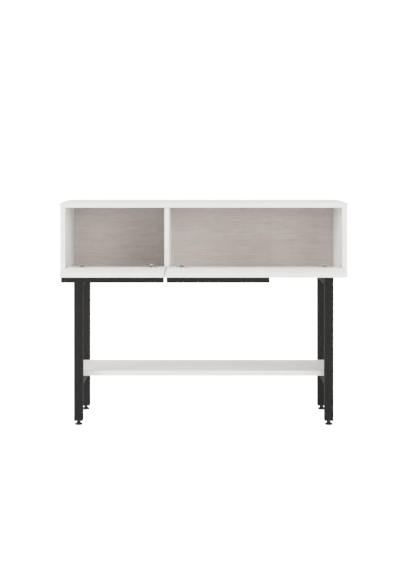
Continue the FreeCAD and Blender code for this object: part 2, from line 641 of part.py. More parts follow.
def make_foot_stem(name, x, y):
    """A stem: a collar in the pad, a hexagon to turn it by, and a shank up into the insert."""
    collar = rod(STEM_COLLAR_RADIUS, STEM_COLLAR_HEIGHT, (x, y, STEM_COLLAR_BASE), Z_AXIS)
    shank = rod(STEM_RADIUS, STEM_TOP_Z - STEM_COLLAR_BASE, (x, y, STEM_COLLAR_BASE), Z_AXIS)
    hex_base = FOOT_HEIGHT + 2 * RUNNING_CLEARANCE
    corner_radius = STEM_HEX_FLATS / math.sqrt(3)
    corners = []
    for index in range(7):
        angle = math.tau * index / 6
        out = FreeCAD.Vector(math.cos(angle), math.sin(angle), 0) * corner_radius
        corners.append(FreeCAD.Vector(x, y, hex_base) + out)
    hexagon = Part.Face(Part.makePolygon(corners)).extrude(Z_AXIS * STEM_HEX_HEIGHT)
    save(name, [shank.fuse([collar, hexagon]).removeSplitter().Solids[0]])


def make_feet():
    """Four adjustable feet."""
    for name, (x, y) in FEET.items():
        make_foot_pad(f"{name}_foot_pad", x, y)
        make_foot_stem(f"{name}_foot_stem", x, y)


os.makedirs("parts", exist_ok=True)
make_case_boards()
make_back_panel()
make_case_fittings()
make_doors()
make_hinge_mountings()
make_side_frames()
make_shelf()
make_leg_plugs()
make_feet()
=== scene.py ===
"""Console table with two flap doors: the looks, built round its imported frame.

Lengths are in metres in the frame's own axes: +X right, +Y back, +Z up.
"""

import json
import logging
import math
from dataclasses import dataclass, field
from enum import Enum
from typing import Sequence

import bmesh
import bpy
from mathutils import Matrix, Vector

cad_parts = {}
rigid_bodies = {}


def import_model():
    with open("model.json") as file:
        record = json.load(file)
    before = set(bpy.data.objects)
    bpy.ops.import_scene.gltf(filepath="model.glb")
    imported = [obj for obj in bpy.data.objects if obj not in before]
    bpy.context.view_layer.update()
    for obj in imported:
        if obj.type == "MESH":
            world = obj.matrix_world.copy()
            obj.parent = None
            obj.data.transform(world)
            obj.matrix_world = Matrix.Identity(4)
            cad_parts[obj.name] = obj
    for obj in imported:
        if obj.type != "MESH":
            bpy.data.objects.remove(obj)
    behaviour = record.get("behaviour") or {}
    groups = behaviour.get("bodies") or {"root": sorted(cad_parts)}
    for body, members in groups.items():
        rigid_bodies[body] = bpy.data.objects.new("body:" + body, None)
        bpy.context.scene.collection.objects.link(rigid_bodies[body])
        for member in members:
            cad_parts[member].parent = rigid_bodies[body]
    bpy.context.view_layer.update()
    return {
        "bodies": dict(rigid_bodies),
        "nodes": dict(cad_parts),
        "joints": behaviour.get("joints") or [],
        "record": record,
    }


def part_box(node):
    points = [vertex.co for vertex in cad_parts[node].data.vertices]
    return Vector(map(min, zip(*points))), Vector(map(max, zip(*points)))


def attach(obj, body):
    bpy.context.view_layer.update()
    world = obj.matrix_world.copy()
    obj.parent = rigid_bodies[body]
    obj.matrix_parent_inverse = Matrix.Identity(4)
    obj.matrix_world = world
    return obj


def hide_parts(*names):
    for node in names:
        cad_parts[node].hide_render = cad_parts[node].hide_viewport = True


log = logging.getLogger("console_table")

MM = 0.001
MERGE_DISTANCE = 0.001 * MM
SHARP_DEGREES = 35.0


class Slot(Enum):
    """The record's material slots."""

    BOARD = "white_board"
    GRAIN = "wood_grain_back"
    BEECH = "beech"
    STEEL = "black_steel"
    PLASTIC = "black_plastic"
    NICKEL = "nickel_plated_steel"
    ZINC = "zinc_plated_steel"
    OXIDE = "black_oxide_steel"


class Axis(Enum):
    """The frame's axes as unit vectors."""

    X = (1.0, 0.0, 0.0)
    Y = (0.0, 1.0, 0.0)
    Z = (0.0, 0.0, 1.0)

    @property
    def vector(self) -> Vector:
        """The axis as a vector."""
        return Vector(self.value)


# Node trees


@dataclass
class Shading:
    """A material's node tree under construction.

    Attributes:
        material: The material being built.
    """

    material: bpy.types.Material
    tree: bpy.types.NodeTree = field(init=False)
    surface: bpy.types.Node = field(init=False)

    def __post_init__(self) -> None:
        """Clear the tree and put in a Principled shader and an output."""
        self.material.use_nodes = True
        self.tree = self.material.node_tree
        self.tree.nodes.clear()
        output = self.tree.nodes.new("ShaderNodeOutputMaterial")
        self.surface = self.tree.nodes.new("ShaderNodeBsdfPrincipled")
        self.tree.links.new(self.surface.outputs[0], output.inputs["Surface"])

    def node(self, kind: str, inputs: dict | None = None, **settings: object) -> bpy.types.Node:
        """Add a node.

        Args:
            kind: The node's type without its ShaderNode prefix.
            inputs: Values or output sockets by input name or index.
            settings: Attributes of the node itself.

        Returns:
            The new node.
        """
        made = self.tree.nodes.new("ShaderNode" + kind)
        for name, value in settings.items():
            setattr(made, name, value)
        for name, value in (inputs or {}).items():
            self.feed(made.inputs[name], value)
        return made

    def feed(self, socket: bpy.types.NodeSocket, value: object) -> None:
        """Link a socket to an output, or set its value."""
        if isinstance(value, bpy.types.NodeSocket):
            self.tree.links.new(value, socket)
        else:
            socket.default_value = value

    def place(self, scale: Sequence[float] = (1.0, 1.0, 1.0)) -> bpy.types.NodeSocket:
        """Return the piece's own coordinates in metres, times a scale."""
        where = self.node("TexCoord")
        if tuple(scale) == (1.0, 1.0, 1.0):
            return where.outputs["Object"]
        return self.node("Mapping", {"Vector": where.outputs["Object"], "Scale": scale}).outputs[0]

    def noise(self, scale: float, detail: float = 2.0, stretch: Sequence[float] = (1.0, 1.0, 1.0),
              roughness: float = 0.5) -> bpy.types.NodeSocket:
        """Return a noise value.

        Args:
            scale: Features to the metre.
            detail: Octaves.
            stretch: Scale of the coordinates along each axis.
            roughness: Weight of the finer octaves.

        Returns:
            The noise factor's socket.
        """
        inputs = {"Vector": self.place(stretch), "Scale": scale, "Detail": detail, "Roughness": roughness}
        return self.node("TexNoise", inputs).outputs[0]

    def math(self, operation: str, first: object, second: object = 0.0) -> bpy.types.NodeSocket:
        """Return the result of a scalar operation.

        Args:
            operation: The operation's name.
            first: Its first value or socket.
            second: Its second value or socket.

        Returns:
            The result's socket.
        """
        return self.node("Math", {0: first, 1: second}, operation=operation).outputs[0]

    def span(self, value: object, low: float, high: float, new_low: float,
             new_high: float) -> bpy.types.NodeSocket:
        """Carry a value from one range to another, clamped.

        Args:
            value: The value's socket.
            low: Start of its range.
            high: End of its range.
            new_low: Start of the new range.
            new_high: End of the new range.

        Returns:
            The carried value's socket.
        """
        inputs = {"Value": value, 1: low, 2: high, 3: new_low, 4: new_high}
        return self.node("MapRange", inputs).outputs[0]

    def blend(self, share: object, first: object, second: object) -> bpy.types.NodeSocket:
        """Mix two colours.

        Args:
            share: The second colour's share, 0 to 1.
            first: The first colour.
            second: The second colour.

        Returns:
            The mixed colour's socket.
        """
        made = self.node("Mix", data_type="RGBA")
        self.feed(made.inputs["Factor"], share)
        self.feed(made.inputs["A"], first)
        self.feed(made.inputs["B"], second)
        return made.outputs["Result"]

    def bump(self, height: object, strength: float, distance: float) -> bpy.types.NodeSocket:
        """Return a bumped normal.

        Args:
            height: The height socket.
            strength: Share of the bump, 0 to 1.
            distance: Height of the relief in metres.

        Returns:
            The normal's socket.
        """
        inputs = {"Height": height, "Strength": strength, "Distance": distance}
        return self.node("Bump", inputs).outputs[0]

    def dress(self, **values: object) -> None:
        """Set or link the shader's inputs, with spaces in names written as underscores."""
        for name, value in values.items():
            self.feed(self.surface.inputs[name.replace("_", " ")], value)


Colour = tuple[float, float, float, float]


@dataclass(frozen=True)
class Finish:
    """A surface finish. Each kind builds its own shader.

    Attributes:
        name: The material's name.
        colour: Its linear base colour.
        relief: Height of its texture.
        relief_strength: Share of that height.
    """

    name: str
    colour: Colour
    relief: float = 0.1 * MM
    relief_strength: float = 0.4

    def material(self) -> bpy.types.Material:
        """Return the finish's material, built once."""
        made = bpy.data.materials.get(self.name)
        if made is None:
            made = bpy.data.materials.new(self.name)
            shading = Shading(made)
            self.shade(shading)
            made.diffuse_color = self.colour
        return made

    def shade(self, shading: Shading) -> None:
        """Fill in the shader."""
        raise NotImplementedError

    def normal(self, shading: Shading, height: bpy.types.NodeSocket) -> bpy.types.NodeSocket:
        """Return the normal's socket, bumped by a texture's height."""
        return shading.bump(height, self.relief_strength, self.relief)

    def tint(self, factor: float) -> Colour:
        """Return the base colour made lighter or darker."""
        red, green, blue, alpha = self.colour
        return (min(red * factor, 1.0), min(green * factor, 1.0), min(blue * factor, 1.0), alpha)


@dataclass(frozen=True)
class Melamine(Finish):
    """White melamine-faced board: a satin film with a fine pearl texture, and smoother banded edges.

    Attributes:
        pearl_per_metre: Texture cells to the metre.
        gloss: Mean roughness of the faces.
        band_gloss: How much smoother the edge bands are.
        band_facing: How squarely a face looks forwards or backwards where it is a band.
        specular: Specular level.
    """

    relief: float = 0.06 * MM
    relief_strength: float = 0.35
    pearl_per_metre: float = 900.0
    gloss: float = 0.42
    band_gloss: float = 0.09
    band_facing: float = 0.9
    specular: float = 0.42

    def shade(self, shading: Shading) -> None:
        """Mottle the white, vary the gloss and press in the pearl texture; draw lines along the bands."""
        band = self.band_share(shading)
        cloud = shading.noise(6.0, 4.0)
        speck = shading.noise(420.0, 2.0)
        tone = shading.blend(shading.span(cloud, 0.3, 0.7, 0.0, 1.0), self.tint(0.975), self.tint(1.015))
        fine = shading.span(speck, 0.35, 0.65, 0.0, 0.10)
        tone = shading.blend(fine, tone, self.tint(0.86))
        drawn = shading.noise(1400.0, 2.0, (0.02, 1.0, 1.0))
        line_share = shading.math("MULTIPLY", band, shading.span(drawn, 0.3, 0.7, 0.05, 0.35))
        tone = shading.blend(line_share, tone, self.tint(0.93))
        pearl = shading.noise(self.pearl_per_metre, 2.0)
        handled = shading.span(shading.noise(11.0, 3.0), 0.35, 0.7, -0.05, 0.07)
        rough = shading.math("ADD", handled, self.gloss)
        rough = shading.math("SUBTRACT", rough, shading.math("MULTIPLY", band, self.band_gloss))
        normal = self.normal(shading, pearl)
        shading.dress(Base_Color=tone, Roughness=rough, Normal=normal, Specular_IOR_Level=self.specular)

    def band_share(self, shading: Shading) -> bpy.types.NodeSocket:
        """Return 1 on the faces that look forwards or backwards at rest, and 0 elsewhere."""
        facing = shading.node("SeparateXYZ", {0: shading.node("TexCoord").outputs["Normal"]})
        return shading.math("GREATER_THAN", shading.math("ABSOLUTE", facing.outputs[1]), self.band_facing)


@dataclass(frozen=True)
class GrainFoil(Finish):
    """Grey-taupe wood-grain foil with fine streaks along the board.

    Attributes:
        dark: Colour of the grain's pores.
        pale: Colour between the streaks.
        streaks_per_metre: Fine streaks to the metre.
        bands_per_metre: Broad bands to the metre.
        streak_share: How much the streaks count against the bands.
        wander: How far the grain strays up and down, in metres.
    """

    dark: Colour = (0.36, 0.31, 0.27, 1.0)
    pale: Colour = (0.645, 0.577, 0.54, 1.0)
    streaks_per_metre: float = 300.0
    bands_per_metre: float = 34.0
    streak_share: float = 0.72
    wander: float = 12.0 * MM
    relief: float = 0.12 * MM

    def shade(self, shading: Shading) -> None:
        """Lay broad bands, fine streaks and short pores over each other, all along X."""
        streak = self.drawn_out(shading, 0.045, self.streaks_per_metre, 5.0, 0.66)
        band = self.drawn_out(shading, 0.06, self.bands_per_metre, 3.0, 0.5)
        weave = shading.noise(330.0, 2.0, (1.0, 0.2, 0.05))
        pore = shading.noise(900.0, 2.0, (0.035, 1.0, 1.0), 0.6)
        mixed = shading.math("ADD", shading.math("MULTIPLY", streak, self.streak_share),
                             shading.math("MULTIPLY", band, 1.0 - self.streak_share))
        tone = shading.blend(shading.span(mixed, 0.36, 0.64, 0.0, 1.0), self.tint(0.88), self.pale)
        tone = shading.blend(shading.span(weave, 0.35, 0.7, 0.0, 0.22), tone, self.tint(0.80))
        tone = shading.blend(shading.span(pore, 0.56, 0.68, 0.0, 0.55), tone, self.dark)
        rough = shading.span(mixed, 0.35, 0.65, 0.62, 0.50)
        height = shading.math("SUBTRACT", mixed, shading.span(pore, 0.56, 0.68, 0.0, 0.5))
        normal = self.normal(shading, height)
        shading.dress(Base_Color=tone, Roughness=rough, Normal=normal)

    def drawn_out(self, shading: Shading, squeeze: float, per_metre: float, detail: float,
                  roughness: float) -> bpy.types.NodeSocket:
        """Return noise drawn out along X that strays up and down.

        Args:
            shading: The node tree.
            squeeze: Scale of the coordinate along X.
            per_metre: Features to the metre across the grain.
            detail: Octaves.
            roughness: Weight of the finer octaves.

        Returns:
            The noise factor's socket.
        """
        along = shading.node("SeparateXYZ", {0: shading.place()})
        stray = shading.math("MULTIPLY", shading.noise(2.2, 2.0), self.wander)
        where = {
            0: shading.math("MULTIPLY", along.outputs[0], squeeze),
            1: along.outputs[1],
            2: shading.math("ADD", along.outputs[2], stray),
        }
        vector = shading.node("CombineXYZ", where).outputs[0]
        inputs = {"Vector": vector, "Scale": per_metre, "Detail": detail, "Roughness": roughness}
        return shading.node("TexNoise", inputs).outputs[0]


@dataclass(frozen=True)
class PowderCoat(Finish):
    """Black powder coat with a fine leathery texture.

    Attributes:
        texture_per_metre: Texture cells to the metre.
        ripples_per_metre: Broader ripples to the metre.
        roughness: Least and greatest roughness.
        specular: Specular level.
    """

    texture_per_metre: float = 1100.0
    ripples_per_metre: float = 260.0
    relief_strength: float = 0.35
    roughness: tuple[float, float] = (0.70, 0.82)
    specular: float = 0.14

    def shade(self, shading: Shading) -> None:
        """Raise the texture and break up the gloss."""
        leather = shading.noise(self.texture_per_metre, 3.0)
        ripple = shading.noise(self.ripples_per_metre, 2.0)
        height = shading.math("ADD", leather, shading.math("MULTIPLY", ripple, 0.6))
        dust = shading.span(shading.noise(9.0, 4.0), 0.45, 0.75, 0.0, 0.35)
        tone = shading.blend(dust, self.colour, self.tint(1.35))
        tone = shading.blend(shading.span(leather, 0.5, 0.7, 0.0, 0.35), tone, self.tint(1.7))
        rough = shading.span(ripple, 0.3, 0.7, *self.roughness)
        normal = self.normal(shading, height)
        shading.dress(Base_Color=tone, Roughness=rough, Normal=normal, Specular_IOR_Level=self.specular)


@dataclass(frozen=True)
class MouldedPlastic(Finish):
    """Black moulded nylon with a fine spark texture.

    Attributes:
        texture_per_metre: Texture cells to the metre.
        roughness: Least and greatest roughness.
        specular: Specular level.
    """

    texture_per_metre: float = 1800.0
    relief: float = 0.06 * MM
    roughness: tuple[float, float] = (0.50, 0.66)
    specular: float = 0.3

    def shade(self, shading: Shading) -> None:
        """Roughen the mould texture and scuff it a little."""
        spark = shading.noise(self.texture_per_metre, 2.0)
        scuff = shading.span(shading.noise(60.0, 5.0, (1.0, 1.0, 0.3)), 0.55, 0.75, 0.0, 0.5)
        tone = shading.blend(scuff, self.colour, self.tint(2.2))
        rough = shading.span(spark, 0.3, 0.7, *self.roughness)
        normal = self.normal(shading, spark)
        shading.dress(Base_Color=tone, Roughness=rough, Normal=normal, Specular_IOR_Level=self.specular)


@dataclass(frozen=True)
class Plated(Finish):
    """Plated steel: metallic, with fine polishing lines and slightly cloudy gloss.

    Attributes:
        gloss: Mean roughness.
        lines_per_metre: Polishing lines to the metre.
    """

    gloss: float = 0.26
    lines_per_metre: float = 2400.0
    relief: float = 0.03 * MM
    relief_strength: float = 0.25

    def shade(self, shading: Shading) -> None:
        """Draw polishing lines and cloud the plate."""
        lines = shading.noise(self.lines_per_metre, 2.0, (0.06, 1.0, 1.0))
        cloud = shading.noise(150.0, 4.0)
        tone = shading.blend(shading.span(cloud, 0.35, 0.7, 0.0, 1.0), self.colour, self.tint(0.92))
        rough = shading.math("ADD", shading.span(cloud, 0.3, 0.7, -0.03, 0.05), self.gloss)
        normal = self.normal(shading, lines)
        shading.dress(Base_Color=tone, Roughness=rough, Normal=normal, Metallic=1.0)


@dataclass(frozen=True)
class BlackOxide(Finish):
    """Blackened, oiled steel: a dark satin metal with turning lines and a cloudy film of oil.

    Attributes:
        lines_per_metre: Turning lines to the metre.
        roughness: Least and greatest roughness.
        metallic: Share of bare metal seen through the oxide.
    """

    lines_per_metre: float = 2600.0
    relief: float = 0.03 * MM
    relief_strength: float = 0.2
    roughness: tuple[float, float] = (0.36, 0.52)
    metallic: float = 0.6

    def shade(self, shading: Shading) -> None:
        """Cloud the oil and leave the lines of turning."""
        cloud = shading.noise(210.0, 4.0)
        lines = shading.noise(self.lines_per_metre, 2.0, (0.2, 0.2, 1.0))
        tone = shading.blend(shading.span(cloud, 0.35, 0.7, 0.0, 1.0), self.colour, self.tint(1.8))
        rough = shading.span(cloud, 0.3, 0.7, *self.roughness)
        normal = self.normal(shading, lines)
        shading.dress(Base_Color=tone, Roughness=rough, Normal=normal, Metallic=self.metallic)


@dataclass(frozen=True)
class BareBeech(Finish):
    """Turned beech with short flecks along the dowel.

    Attributes:
        roughness: Roughness of the wood.
    """

    roughness: float = 0.7

    def shade(self, shading: Shading) -> None:
        """Streak and fleck the wood."""
        grain = shading.noise(700.0, 4.0, (0.15, 1.0, 0.15))
        fleck = shading.noise(1500.0, 2.0, (0.3, 1.0, 0.3))
        tone = shading.blend(shading.span(grain, 0.3, 0.7, 0.0, 1.0), self.tint(0.8), self.tint(1.1))
        tone = shading.blend(shading.span(fleck, 0.6, 0.7, 0.0, 0.6), tone, self.tint(0.5))
        normal = self.normal(shading, grain)
        shading.dress(Base_Color=tone, Roughness=self.roughness, Normal=normal)


@dataclass(frozen=True)
class Palette:
    """The table's finishes."""

    board: Finish = Melamine("white_melamine", (0.836, 0.824, 0.803, 1.0))
    grain: Finish = GrainFoil("taupe_grain_foil", (0.565, 0.492, 0.452, 1.0))
    steel: Finish = PowderCoat("black_powder_coat", (0.0062, 0.0059, 0.0056, 1.0))
    plastic: Finish = MouldedPlastic("black_nylon", (0.007, 0.007, 0.007, 1.0))
    nickel: Finish = Plated("nickel_plate", (0.54, 0.525, 0.50, 1.0), gloss=0.34)
    zinc: Finish = Plated("zinc_plate", (0.55, 0.57, 0.60, 1.0), gloss=0.32)
    oxide: Finish = BlackOxide("black_oxide", (0.018, 0.018, 0.0195, 1.0))
    beech: Finish = BareBeech("bare_beech", (0.58, 0.38, 0.20, 1.0))

    def for_slot(self, slot: Slot) -> Finish:
        """Return the finish that a record slot takes."""
        return {
            Slot.BOARD: self.board,
            Slot.GRAIN: self.grain,
            Slot.BEECH: self.beech,
            Slot.STEEL: self.steel,
            Slot.PLASTIC: self.plastic,
            Slot.NICKEL: self.nickel,
            Slot.ZINC: self.zinc,
            Slot.OXIDE: self.oxide,
        }[slot]


# Mesh helpers


def new_piece(name: str, mesh: bmesh.types.BMesh, finish: Finish, smooth: bool = True) -> bpy.types.Object:
    """Turn a bmesh into an object in the scene.

    Args:
        name: The piece's name.
        mesh: Its geometry, freed here.
        finish: Its finish.
        smooth: Whether its faces are shaded smooth.

    Returns:
        The new object.
    """
    bmesh.ops.recalc_face_normals(mesh, faces=mesh.faces)
    data = bpy.data.meshes.new(name)
    mesh.to_mesh(data)
    mesh.free()
    for polygon in data.polygons:
        polygon.use_smooth = smooth
    piece = bpy.data.objects.new(name, data)
    bpy.context.scene.collection.objects.link(piece)
    data.materials.append(finish.material())
    return piece


def soften(piece: bpy.types.Object, width: float, segments: int = 2) -> None:
    """Round a piece's sharp edges with a bevel that keeps flat faces flat.

    Args:
        piece: The piece.
        width: The bevel's width.
        segments: Its facets.
    """
    bevel = piece.modifiers.new("soft_edges", "BEVEL")
    bevel.width = width
    bevel.segments = segments
    bevel.limit_method = "ANGLE"
    bevel.angle_limit = math.radians(SHARP_DEGREES)
    bevel.harden_normals = True


def rounded_rectangle(width: float, height: float, radius: float,
                      steps: int = 5) -> list[tuple[float, float]]:
    """Return the outline of a rectangle with round corners, centred on the origin.

    Args:
        width: Its width.
        height: Its height.
        radius: Its corners' radius.
        steps: Facets to a corner.

    Returns:
        The outline's points.
    """
    points = []
    corners = ((1, 1, 0.0), (-1, 1, 90.0), (-1, -1, 180.0), (1, -1, 270.0))
    for side_x, side_y, start in corners:
        centre = (side_x * (width / 2 - radius), side_y * (height / 2 - radius))
        for step in range(steps + 1):
            turn = math.radians(start + 90.0 * step / steps)
            points.append((centre[0] + radius * math.cos(turn), centre[1] + radius * math.sin(turn)))
    return points


def loft(mesh: bmesh.types.BMesh, rings: Sequence[Sequence[Vector]], caps: bool = True) -> None:
    """Skin a row of rings with equal counts of points.

    Args:
        mesh: Where the surface goes.
        rings: The rings.
        caps: Whether the first and the last are closed with a face.
    """
    made = [[mesh.verts.new(point) for point in ring] for ring in rings]
    count = len(made[0])
    for low, high in zip(made, made[1:]):
        for index in range(count):
            after = (index + 1) % count
            mesh.faces.new((low[index], low[after], high[after], high[index]))
    if caps:
        mesh.faces.new(list(reversed(made[0])))
        mesh.faces.new(made[-1])


def lathe(mesh: bmesh.types.BMesh, centre: Vector, profile: Sequence[tuple[float, float]], sides: int = 48,
          closed: bool = False) -> None:
    """Turn a profile about an upright axis.

    Args:
        mesh: Where the surface goes.
        centre: The axis's foot.
        profile: Radius and height pairs.
        sides: Facets round the axis.
        closed: Whether the profile's two ends join, as on a ring.
    """
    rings = []
    for radius, height in profile:
        ring = []
        for index in range(sides):
            turn = math.tau * index / sides
            ring.append(centre + Vector((radius * math.cos(turn), radius * math.sin(turn), height)))
        rings.append(ring)
    if closed:
        rings.append(rings[0])
    loft(mesh, rings, caps=not closed)
    bmesh.ops.remove_doubles(mesh, verts=mesh.verts, dist=MERGE_DISTANCE)


def ride_and_slot(piece: bpy.types.Object, body: str, slot: Slot, *nodes: str) -> None:
    """Put a piece on its body and hide the nodes that it stands for.

    Args:
        piece: The piece.
        body: Its body.
        slot: Its slot, which is not used.
        nodes: The nodes that it replaces.
    """
    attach(piece, body)
    if nodes:
        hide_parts(*nodes)
    log.info("piece %s on %s", piece.name, body)


@dataclass
class CarriedNodes:
    """Frame nodes whose shapes are right: each keeps its mesh and gets a finish and softened edges.

    Attributes:
        frame: The loaded frame.
        palette: The table's finishes.
    """

    frame: dict
    palette: Palette

    def dress(self, node: str, slot: Slot, soft: float = 0.0) -> None:
        """Give one node its finish.

        Args:
            node: The node's name.
            slot: Its slot.
            soft: Width of the bevel on its sharp edges, or none.
        """
        piece = self.frame["nodes"][node]
        finish = self.palette.for_slot(slot).material()
        if not piece.material_slots:
            piece.data.materials.append(finish)
        for held in piece.material_slots:
            held.material = finish
        if soft:
            soften(piece, soft)
        log.info("node %s in %s", node, slot.value)


@dataclass
class BoardCase:
    """The case: top, floor, sides, divider and grained back, with its fittings.

    Attributes:
        nodes: The dresser of carried nodes.
        edge_softness: Bevel of the boards' edges.
    """

    nodes: CarriedNodes
    edge_softness: float = 0.5 * MM

    def build(self) -> None:
        """Dress every board and fitting."""
        for node in ("left_side_panel", "right_side_panel", "centre_divider", "bottom_panel"):
            self.nodes.dress(node, Slot.BOARD, self.edge_softness)
        self.nodes.dress("top_board", Slot.BOARD)
        self.nodes.dress("back_panel", Slot.GRAIN)
        for node in ("cam_locks", "cam_bolts"):
            self.nodes.dress(node, Slot.ZINC, 0.15 * MM)
        self.nodes.dress("dowels", Slot.BEECH, 0.5 * MM)
        self.nodes.dress("divider_screws", Slot.NICKEL)


@dataclass
class FlapDoor:
    """A bottom-hinged door with its handle strip, cups, pins and screws.

    Attributes:
        nodes: The dresser of carried nodes.
        side: Its side, left or right.
    """

    nodes: CarriedNodes
    side: str

    def build(self) -> None:
        """Dress the door and all that moves with it."""
        self.nodes.dress(f"{self.side}_door", Slot.BOARD)
        self.nodes.dress(f"{self.side}_door_handle", Slot.STEEL, 0.4 * MM)
        for node in ("handle_screws", "hinge_cup_screws", "hinge_pins"):
            self.nodes.dress(f"{self.side}_{node}", Slot.NICKEL)


@dataclass
class HingeArm:
    """A cranked hinge arm of pressed steel, on two cheeks that reach down into the cup to its pin.

    Depths are measured back from the case's front, and heights up from the case's floor.

    Attributes:
        palette: The table's finishes.
        place: Which hinge, such as left_outer.
        width: Width of the arm.
        pivot: Depth and height of the pin.
        cheek: Thickness of a cheek.
        cheeks_apart: Distance between the outer faces of the two cheeks.
        knuckle: Radius of a cheek's rounded end.
        eye: Radius of the hole the pin passes through.
        eye_sides: Facets round that hole.
        overlap: How far a cheek reaches into the arm.
        press_radius: Radius of the pressed bends.
        bend_share: The most of a run that a bend takes at either end.
        edge_softness: Bevel of the arm's edges.
        side_line: The arm seen from the side, as depths and heights.
    """

    palette: Palette
    place: str
    width: float = 14.0 * MM
    pivot: tuple[float, float] = (8.2 * MM, 12.5 * MM)
    cheek: float = 2.2 * MM
    cheeks_apart: float = 8.0 * MM
    knuckle: float = 2.7 * MM
    eye: float = 1.45 * MM
    eye_sides: int = 16
    overlap: float = 1.0 * MM
    press_radius: float = 2.2 * MM
    bend_share: float = 0.45
    edge_softness: float = 0.4 * MM
    side_line: tuple[tuple[float, float], ...] = (
        (5.6 * MM, 27.0 * MM), (26.0 * MM, 27.0 * MM), (26.0 * MM, 11.0 * MM), (86.0 * MM, 11.0 * MM),
        (86.0 * MM, 19.0 * MM), (36.0 * MM, 19.0 * MM), (31.0 * MM, 24.0 * MM), (31.0 * MM, 33.0 * MM),
        (5.6 * MM, 33.0 * MM),
    )

    def build(self) -> None:
        """Press the arm, hang its cheeks and put them in the node's place."""
        low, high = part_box(f"{self.place}_hinge_arm")
        floor_low, floor_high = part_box("bottom_panel")
        corner = Vector(((low[0] + high[0]) / 2, floor_low[1], floor_high[2]))
        mesh = bmesh.new()
        half = self.width / 2
        self.press(mesh, corner, self.rounded_side_line(), -half, half)
        outer = self.cheeks_apart / 2
        for near, far in ((-outer, self.cheek - outer), (outer - self.cheek, outer)):
            self.hang_cheek(mesh, corner, near, far)
        piece = new_piece(f"{self.place}_hinge_arm_pressed", mesh, self.palette.nickel)
        soften(piece, self.edge_softness, 3)
        ride_and_slot(piece, "table", Slot.NICKEL, f"{self.place}_hinge_arm")

    def rounded_side_line(self) -> list[tuple[float, float]]:
        """Return the arm's side line with its corners rounded to the press radius, or less on a short run."""
        rounded = []
        count = len(self.side_line)
        for index in range(count):
            before, at, after = (Vector(self.side_line[(index + step) % count]) for step in (-1, 0, 1))
            back, on = before - at, after - at
            reach = min(self.press_radius, self.bend_share * min(back.length, on.length))
            start, end = at + back.normalized() * reach, at + on.normalized() * reach
            for share in (0.0, 0.25, 0.5, 0.75, 1.0):
                bend = start.lerp(at, share).lerp(at.lerp(end, share), share)
                rounded.append((bend.x, bend.y))
        return rounded

    def hang_cheek(self, mesh: bmesh.types.BMesh, corner: Vector, near: float, far: float) -> None:
        """Make a cheek round its eye: rounded below the pin and straight up into the arm above it.

        Args:
            mesh: Where the solid goes.
            corner: The arm's middle, at the case's front and floor.
            near: Where the cheek starts off the arm's middle.
            far: Where it ends.
        """
        depth, height = self.pivot
        top = self.side_line[0][1] + self.overlap
        quarter = self.eye_sides // 4
        sections = []
        for step in range(self.eye_sides):
            turn = math.tau * step / self.eye_sides
            across, up = math.cos(turn), math.sin(turn)
            eye = (depth + self.eye * across, height + self.eye * up)
            rim = (depth + self.knuckle * across, height + self.knuckle * up)
            if 0 < step < 2 * quarter:
                rim = (depth + self.knuckle * (quarter - step) / (quarter - 1), top)
            ends = ((near, rim), (far, rim), (far, eye), (near, eye))
            sections.append([corner + Vector((side, back, high)) for side, (back, high) in ends])
        loft(mesh, [*sections, sections[0]], caps=False)
        bmesh.ops.remove_doubles(mesh, verts=mesh.verts, dist=MERGE_DISTANCE)

    def press(self, mesh: bmesh.types.BMesh, corner: Vector, line: Sequence[tuple[float, float]],
              near: float, far: float) -> None:
        """Extrude a side line from one distance off the arm's middle to another.

        Args:
            mesh: Where the solid goes.
            corner: The arm's middle, at the case's front and floor.
            line: Depths and heights.
            near: The first distance.
            far: The second distance.
        """
        ends = []
        for side in (near, far):
            ends.append([corner + Vector((side, depth, height)) for depth, height in line])
        loft(mesh, ends)


@dataclass
class Hinge:
    """A concealed hinge: a flanged cup in the door, a cranked arm and its mounting plate.

    Attributes:
        nodes: The dresser of carried nodes.
        place: Which hinge, such as left_outer.
    """

    nodes: CarriedNodes
    place: str

    def build(self) -> None:
        """Press the arm and dress the cup and the plate."""
        self.nodes.dress(f"{self.place}_hinge_cup", Slot.NICKEL, 0.25 * MM)
        HingeArm(self.nodes.palette, self.place).build()
        self.nodes.dress(f"{self.place}_hinge_plate", Slot.NICKEL, 0.5 * MM)


